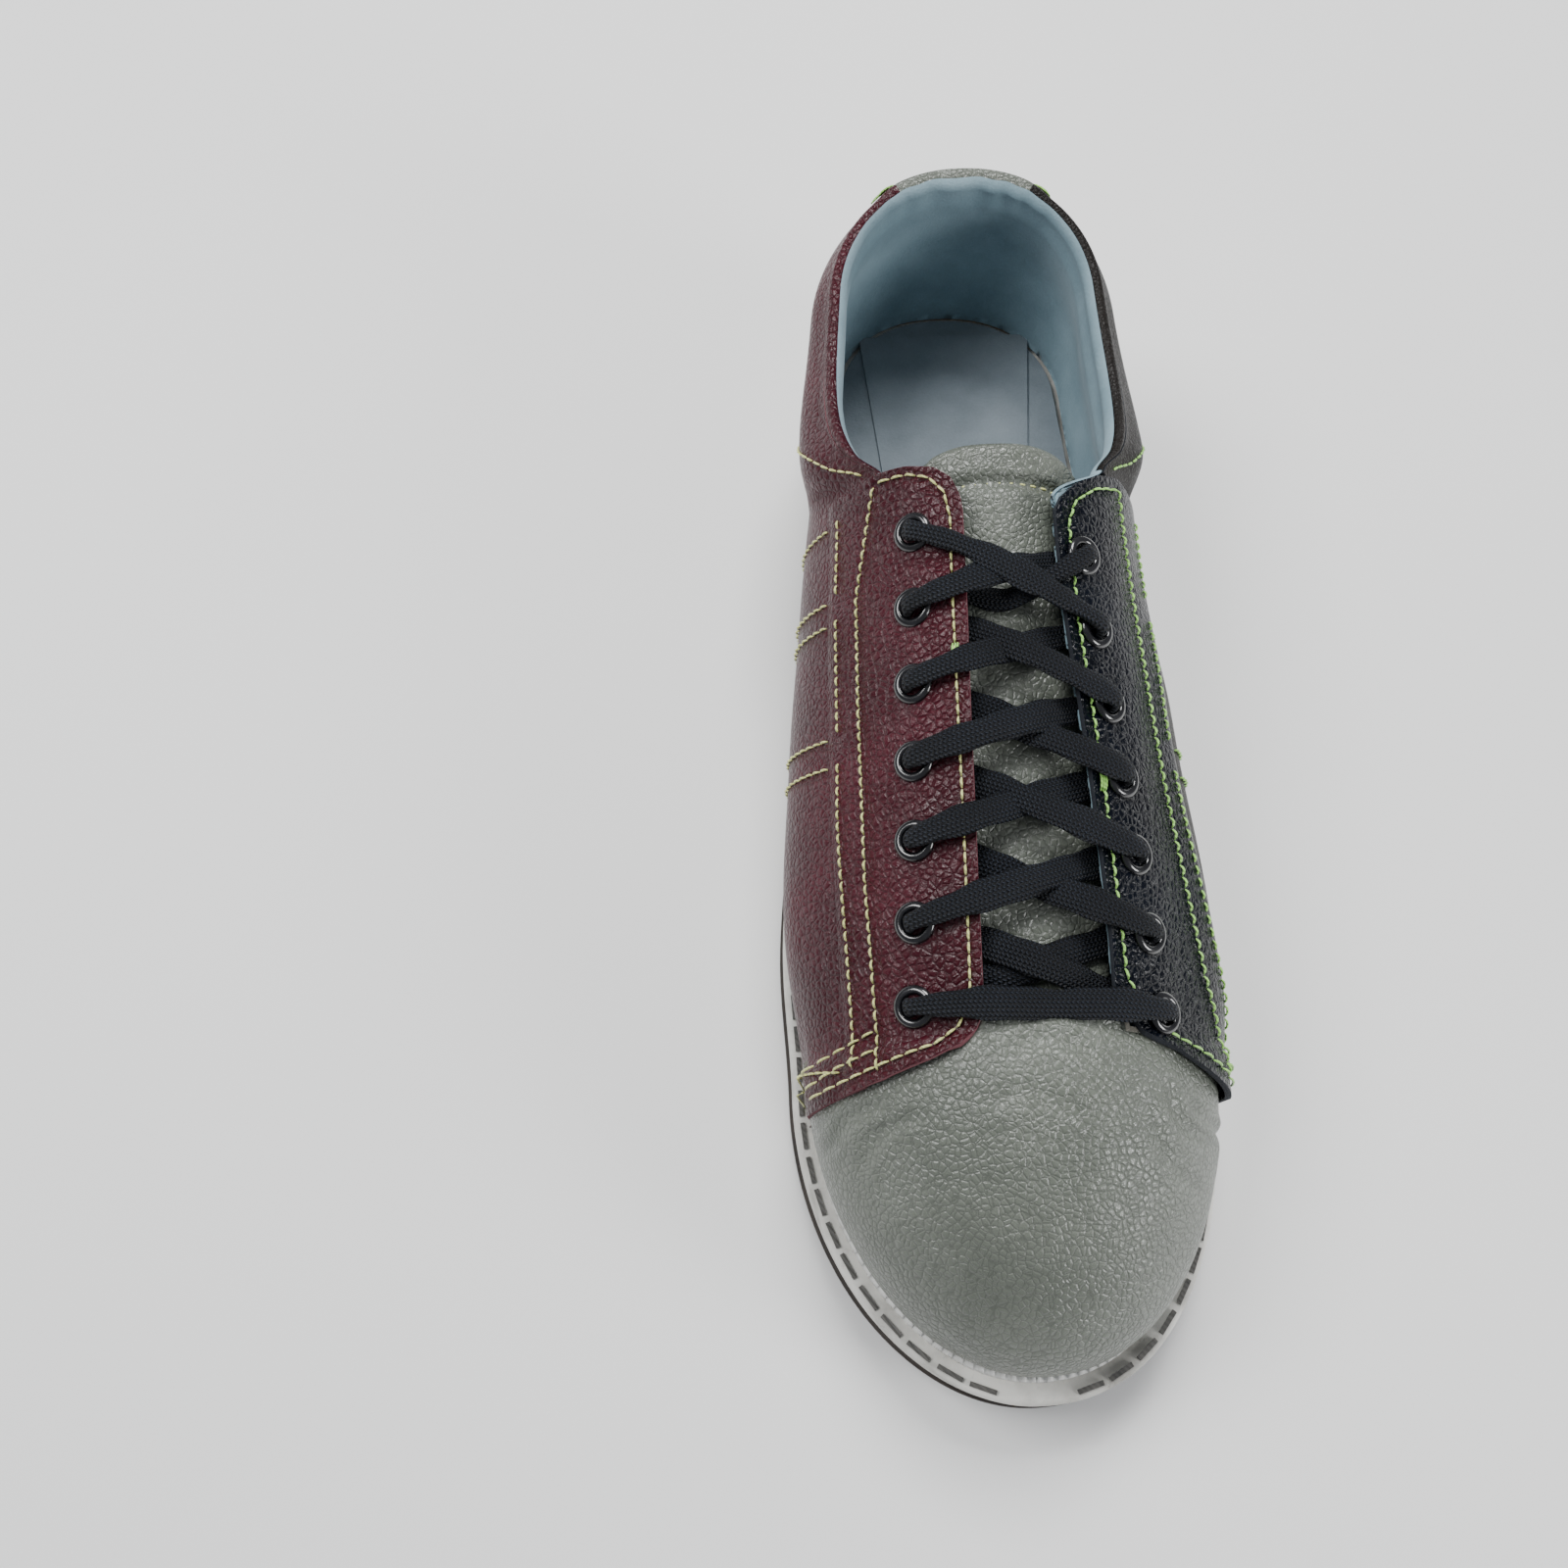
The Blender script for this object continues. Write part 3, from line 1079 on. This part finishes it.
def build_lace():
    points = lace_points()
    centre = np.array([p[0] for p in points])
    normal = np.array([p[1] for p in points])
    half = np.array([[p[2]] for p in points])
    keep = np.concatenate([[True], np.linalg.norm(np.diff(centre, axis=0), axis=1) > 0.5])
    centre, normal, half = centre[keep], normal[keep], half[keep]
    gaps = np.linalg.norm(np.diff(centre, axis=0), axis=1) ** 0.6
    knots = np.concatenate([[0], gaps.cumsum()])
    at = np.linspace(0, knots[-1], 2600)
    path = spline(centre, knots, at)
    up = unit(spline(normal, knots, at))
    width = np.clip(spline(half, knots, at), 1.9, WIDE + 0.1)
    tangent = unit(np.gradient(path, axis=0))
    side = np.cross(tangent, up)
    for i in range(1, len(side)):
        if np.dot(side[i], side[i - 1]) < 0:
            side[i] = -side[i]
    side = smooth_along(side, 5)
    side = unit(side - np.sum(side * tangent, axis=1, keepdims=True) * tangent)
    thin = np.cross(tangent, side)
    length = np.concatenate([[0], np.linalg.norm(np.diff(path, axis=0), axis=1).cumsum()])
    profile = []
    for k in range(28):
        t = 2 * np.pi * k / 28
        c, s = math.cos(t), math.sin(t)
        profile.append((np.sign(c) * abs(c) ** 0.75, np.sign(s) * abs(s) ** 0.8))
    profile = np.array(profile)
    thickness = 0.62 + 0.5 * (WIDE - width) / (WIDE - NARROW)
    wobble = 0.25 * np.sin(length * 0.23)[:, None] + 0.18 * np.sin(length * 0.61 + 1)[:, None]
    across = profile[None, :, 0, None] * (width + wobble)[:, None]
    cup = 0.35 * (profile[None, :, 0, None] ** 2 - 0.4) * (width / WIDE)[:, None]
    thick = profile[None, :, 1, None] * thickness[:, None] + cup * np.sign(np.sum(thin * up, axis=1))[:, None,
            None] * -1
    ring = path[:, None] + side[:, None] * across + thin[:, None] * thick
    vertices = ring.reshape(-1, 3)
    columns = len(profile)
    faces = grid_faces(len(path), columns, wrap=True)
    faces += [tuple(range(columns))[::-1], tuple(range(len(vertices) - columns, len(vertices)))]
    uv = np.stack([across[..., 0] + np.zeros_like(thick[..., 0]), np.broadcast_to(length[:, None],
            thick.shape[:2])], axis=-1)
    obj = add_mesh("lace_braid", vertices, faces, LACE, uv.reshape(-1, 2))
    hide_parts("lace", "aglets")
    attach(obj, "shoe")


# ------------------------------------------------------------------ sewing
def resample(line):
    """Reads a plan polyline by length, and gives its whole length."""
    line = np.array(line, float)
    length = np.concatenate([[0], np.linalg.norm(np.diff(line, axis=0), axis=1).cumsum()])
    return lambda s: np.stack([np.interp(s, length, line[:, i]) for i in range(2)], axis=-1), length[-1]


def stitch_mesh(name, ridges, radius, material, body="shoe", sides=7):
    """Short threads, each a bowed tube through five points, in one mesh."""
    vertices, faces = [], []
    for points in ridges:
        tangent = unit(np.gradient(points, axis=0))
        side = unit(np.cross(tangent, np.array([0.13, 0.2, 1.0])))
        other = np.cross(side, tangent)
        fat = radius * np.array([0.62, 0.95, 1.0, 0.95, 0.62])
        start = len(vertices)
        for p, a, b, r in zip(points, side, other, fat):
            for k in range(sides):
                t = 2 * np.pi * k / sides
                vertices.append(p + (a * math.cos(t) + b * math.sin(t)) * r)
        faces += grid_faces(len(points), sides, wrap=True, start=start)
        faces += [tuple(range(start, start + sides))[::-1],
                  tuple(range(len(vertices) - sides, len(vertices)))]
    obj = add_mesh(name, vertices, faces, material)
    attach(obj, body)
    return obj


BOW = np.array([-0.34, 0.2, 0.34, 0.2, -0.34])


def sewn(side, line, height, pitch=2.7, length=2.3):
    """Stitches down a plan line at a height function over the last."""
    at, total = resample(line)
    count = max(int(total / pitch), 1)
    starts = (np.arange(count) + 0.5) * total / count
    s = starts[:, None] + np.linspace(-length / 2, length / 2, 5)[None, :]
    s = np.clip(s, 0, total)
    plan = at(s)
    station, rise = locate(side, plan[..., 0], plan[..., 1])
    point, normal = lap_frame(lap_of(side, station), rise)
    base = height(point) if callable(height) else height
    return list(point + normal * (base + BOW[None, :])[..., None])


def on_eyestay(point):
    return OVERLAY[1] + lap_lift(point[..., 1]) + 0.12


def on_quarter(point):
    return LEATHER[1] + lap_lift(point[..., 1]) + collar_swell(point) + 0.15


def on_patch(point):
    return OVERLAY[1] + collar_swell(point) + 0.15


def sewn_wall(side, station, rise, height, pitch=2.7, length=2.3):
    """Stitches along a line of stations and rises, where the wall is too steep for a plan."""
    path = last(side, station, rise)
    run = np.concatenate([[0], np.linalg.norm(np.diff(path, axis=0), axis=1).cumsum()])
    count = max(int(run[-1] / pitch), 1)
    starts = (np.arange(count) + 0.5) * run[-1] / count
    s = np.clip(starts[:, None] + np.linspace(-length / 2, length / 2, 5)[None, :], 0, run[-1])
    lap = lap_of(side, np.interp(s, run, station))
    point, normal = lap_frame(lap, np.interp(s, run, rise))
    return list(point + normal * (height(point) + BOW[None, :])[..., None])


def build_sewing():
    for side, colour in ((MEDIAL, THREAD_PALE), (LATERAL, THREAD_NEON)):
        label = SIDE_NAME[side]
        ridges = []
        for line in STITCH_LINES[side]:
            ridges += sewn(side, line, on_eyestay)
        def second(y):
            return float(through(SECOND_LINE[side], y))

        for low, high in SECOND_BLOCKS[side]:
            line = [(second(y), y) for y in np.linspace(low, high, 14)]
            ridges += sewn(side, line, on_eyestay)
            for y in (low, high):
                start = float(locate(side, second(y) + side * 3.0, y)[1])
                ridges += sewn_wall(side, np.linspace(y, y + 3, 80), np.linspace(start, 0.1, 80), on_quarter)
        stations = np.linspace(57, 128, 200)
        ridges += sewn_wall(side, stations, rise_at_collar(side, stations, through(PADDING_SEAM, stations)),
                            on_quarter)
        share = np.linspace(0.04, 0.96, 120)
        stations = 133.5 + 7 * step(0, 0.9, share)
        ridges += sewn_wall(side, stations, rise_at_collar(side, stations) * share, on_patch)
        stitch_mesh(f"upper_stitches_{label}", ridges, 0.31, colour)
        tacks = []
        for x, y, dx, dy, count in BARTACKS[side]:
            for k in range(count):
                offset = (k - (count - 1) / 2) * 0.5
                line = [(x + offset * dy - dx * 2.4, y - offset * dx - dy * 2.4),
                        (x + offset * dy + dx * 2.4, y - offset * dx + dy * 2.4)]
                tacks += sewn(side, line, lambda p: on_eyestay(p) + 0.1, 4.8, 4.6)
        tacks += heel_tack(side)
        stitch_mesh(f"bartacks_{label}", tacks, 0.3, THREAD_NEON)
    tongue = []
    for y in (-73.2, -70.6):
        tongue += [p for p in sewn_arch([(-6, y - 0.6), (4, y), (15, y)], 0.9)]
    stitch_mesh("tongue_base_stitches", tongue, 0.32, THREAD_NEON)
    quilt = sewn_arch([(-22, 46.2), (-12, 47.6), (2, 48), (14, 47.6), (24, 46.2)], -4.2)
    stitch_mesh("tongue_top_stitches", quilt, 0.3, THREAD_PALE, "tongue")


def heel_tack(side):
    """A dense bar of thread at the patch's edge, by the topline."""
    found = []
    for k in range(9):
        station = HEEL_TACKS[side] + np.linspace(-2.2, 2.2, 5)
        top = rise_at_collar(side, station, 0.8 + 0.6 * k)
        point, normal = lap_frame(lap_of(side, station), top)
        lift = OVERLAY[1] + collar_swell(point) + 0.35 + BOW
        found.append(point + normal * lift[..., None])
    return found


def sewn_arch(line, height, pitch=2.9, length=2.2):
    at, total = resample(line)
    count = int(total / pitch)
    starts = (np.arange(count) + 0.5) * total / count
    s = starts[:, None] + np.linspace(-length / 2, length / 2, 5)[None, :]
    plan = at(s)
    point, normal = arch_frame(plan[..., 1], plan[..., 0])
    return list(point + normal * (height + BOW[None, :])[..., None])


SECOND_LINE = {
    MEDIAL: ((-84, -34.6), (-30, -36.2), (-8, -35.4), (28, -34.2), (53, -32.8)),
    LATERAL: ((-84, 46.5), (-50, 41), (-15, 36.2), (20, 34.2), (54, 34.6)),
}
SECOND_BLOCKS = {MEDIAL: ((-81, -11), (-4, 25), (31, 50)), LATERAL: ((-80, -14), (-7, 24), (30, 52))}
PADDING_SEAM = ((57, 2.5), (63, 5), (70, 8), (80, 14), (91, 20), (104, 23), (128, 24))
BARTACKS = {
    MEDIAL: [(-11.0, 6.5, 0.0, 1.0, 3)],
    LATERAL: [(17.4, -22.5, 0.0, 1.0, 3)],
}
HEEL_TACKS = {MEDIAL: 137.5, LATERAL: 136.5}


# ------------------------------------------------------------------ sole
def around(profile, name, material, nodes, laps=None, closed=True):
    """Sweeps a closed profile of (inset, height above a base line) round the sole."""
    laps = np.linspace(-152, 456, 720, endpoint=False) if laps is None else laps
    side = np.where(laps <= HEEL_BACK, MEDIAL, LATERAL)
    station = np.where(laps <= HEEL_BACK, laps, 2 * HEEL_BACK - laps)
    rings = []
    for inset, height in profile:
        shift = inset(station) if callable(inset) else inset
        x, y, _, _ = outline(side, station, shift)
        rings.append(np.stack([x, y, height(x, y, laps)], axis=-1))
    points = np.stack(rings, axis=1)
    rows, columns = points.shape[:2]
    faces = []
    for i in range(rows if closed else rows - 1):
        for j in range(columns):
            k, n = (j + 1) % columns, (i + 1) % rows
            faces.append((i * columns + j, i * columns + k, n * columns + k, n * columns + j))
    if not closed:
        faces += [tuple(range(columns))[::-1], tuple(range((rows - 1) * columns, rows * columns))]
    obj = add_mesh(name, points.reshape(-1, 3), faces, material)
    if nodes:
        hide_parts(*nodes)
    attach(obj, "shoe")
    return obj


def feather(y):
    return through(FEATHER_HEIGHT, y)


def outsole_top(y):
    return through(TREAD_HEIGHT, y) + 2.6


def build_sole():
    wear = 0.18

    def rough(laps, k):
        return wear * np.sin(laps * 0.37 + k) * np.sin(laps * 0.11 + 2 * k)

    def top(drop):
        return lambda x, y, laps: feather(y) - drop + 0.5 * rough(laps, drop * 3)

    def inner(station):
        return through(FEATHER_INSET, station) + 3
    welt = [(inner, top(0.05)), (2.6, top(0.0)), (1.2, top(0.05)), (0.55, top(0.3)), (0.15, top(0.9)),
            (0.0, top(1.6)), (0.2, top(2.6)), (0.7, top(3.15)), (inner, top(3.2))]
    around(welt, "welt_strip", WELT_WHITE, ["welt"])

    def mix(share):
        return lambda x, y, laps: ((feather(y) - 3.25) * (1 - share) + outsole_top(y) * share
                                   + rough(laps, share * 5))

    wall = [(inner, mix(0)), (1.0, mix(0.0)), (0.35, mix(0.05)), (0.1, mix(0.2)), (0.0, mix(0.5)),
            (0.1, mix(0.8)), (0.35, mix(0.95)), (0.9, mix(1.0)), (inner, mix(1.0))]
    around(wall, "midsole_wall", WHITE, ["midsole"])

    def low(share):
        return lambda x, y, laps: through(TREAD_HEIGHT, y) + 2.6 * share

    edge = [(4, low(0.12)), (0.4, low(0.12)), (-0.5, low(0.2)), (-0.8, low(0.5)), (-0.6, low(0.85)),
            (0.2, low(0.98)), (4, low(0.98))]
    around(edge, "outsole_edge", DARK, [])

    laps = np.concatenate([np.linspace(304 + 40, 456, 1100), np.linspace(-152, -40, 1100)[1:]])

    def rand_edge(extra, base, peak):
        def height(x, y, laps):
            tooth = 0.5 + 0.5 * np.sign(np.sin(laps * 2 * np.pi / 2.3)) * np.abs(np.sin(laps * 2 * np.pi / 2.3)) ** 0.3
            return feather(y) + base + peak * tooth
        return (lambda station: through(FEATHER_INSET, station) + extra, height)

    rand = [rand_edge(-5.1, -0.1, 0), rand_edge(-5.0, 0.5, 0.5), rand_edge(-4.5, 0.8, 0.8),
            rand_edge(-3.6, 1.0, 0.8), rand_edge(-2.6, 1.0, 0.5), rand_edge(-2.5, -0.1, 0)]
    around(rand, "storm_rand_teeth", TOOTH_WHITE, ["storm_rand"], laps, closed=False)


# ------------------------------------------------------------------ the CAD pieces that stay
CAD_FINISH = {
    "outsole": (DARK, "sole_dark"), "heel_lift": (DARK, "sole_dark"), "welt_stitches": (THREAD_GREY,
            "thread_grey"),
    "filler": (FOAM, "cork"), "shank": (STEEL, "steel"), "insole_board": (BOARD, "board"),
    "sock_liner": (SOCK, "lining_blue"), "sock_pad": (SOCK, "lining_blue"), "vamp_lining": (BLUE,
            "lining_blue"),
    "toe_puff": (BOARD, "stiffener"), "heel_counter": (BOARD, "stiffener"),
    "facing_reinforcement_medial": (EDGE_BURGUNDY, "stiffener"), "facing_reinforcement_lateral": (EDGE_NAVY,
            "stiffener"),
}


def finish_cad():
    for name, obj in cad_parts.items():
        material, slot = CAD_FINISH.get(name, (FOAM, "foam"))
        for index in range(max(len(obj.material_slots), 1)):
            if len(obj.material_slots) == 0:
                obj.data.materials.append(material)
            else:
                obj.material_slots[index].material = material


# ------------------------------------------------------------------ studio
def build_studio():
    scene = bpy.context.scene
    floor_material, tree, shader = new_material("studio_floor")
    place = object_place(tree)
    tone = ramp(tree, noise(tree, place, 3.0), [(0.3, (0.87, 0.87, 0.86)), (0.7, (0.9, 0.9, 0.89))])
    tree.links.new(tone, shader.inputs["Base Color"])
    shader.inputs["Roughness"].default_value = 0.6
    size = 6000
    floor = add_mesh("studio_floor", [(-size, -size, 0), (size, -size, 0), (size, size, 0), (-size, size, 0)],
                     [(0, 1, 2, 3)], floor_material)
    for name, place, aim, width, power in (
            ("window_light", (0.85, -0.46, 0.46), (0, 0, 0.04), 0.36, 6.0),
            ("fill_light", (-0.9, 0.3, 1.3), (0, 0, 0.05), 0.7, 17),
            ("top_light", (0.1, 0.8, 1.3), (0, 0, 0.05), 0.6, 21)):
        data = bpy.data.lights.new(name, "AREA")
        data.shape = "SQUARE"
        data.size = width
        data.energy = power
        lamp = bpy.data.objects.new(name, data)
        scene.collection.objects.link(lamp)
        lamp.location = place
        lamp.rotation_euler = (Vector(aim) - Vector(place)).to_track_quat("-Z", "Y").to_euler()
    world = bpy.data.worlds.new("studio_world")
    scene.world = world
    world.use_nodes = True
    background = next(n for n in world.node_tree.nodes if n.type == "BACKGROUND")
    background.inputs["Color"].default_value = (0.9, 0.93, 1.0, 1)
    background.inputs["Strength"].default_value = 0.3


def build_camera():
    data = bpy.data.cameras.new("photo_camera")
    data.sensor_width = 36.0
    data.lens = LENS_MM
    data.clip_start = 0.01
    camera = bpy.data.objects.new("photo_camera", data)
    bpy.context.scene.collection.objects.link(camera)
    camera.location = Vector(CAMERA_PLACE) * MM
    camera.rotation_euler = (math.radians(90 + CAMERA_PITCH), 0, math.radians(-CAMERA_YAW))
    bpy.context.scene.camera = camera


build_camera()
build_vamp()
build_quarters()
build_eyestays()
build_heel_patch()
build_collar()
build_tongue()
build_eyelets()
build_lace()
build_sewing()
build_sole()
finish_cad()
build_studio()
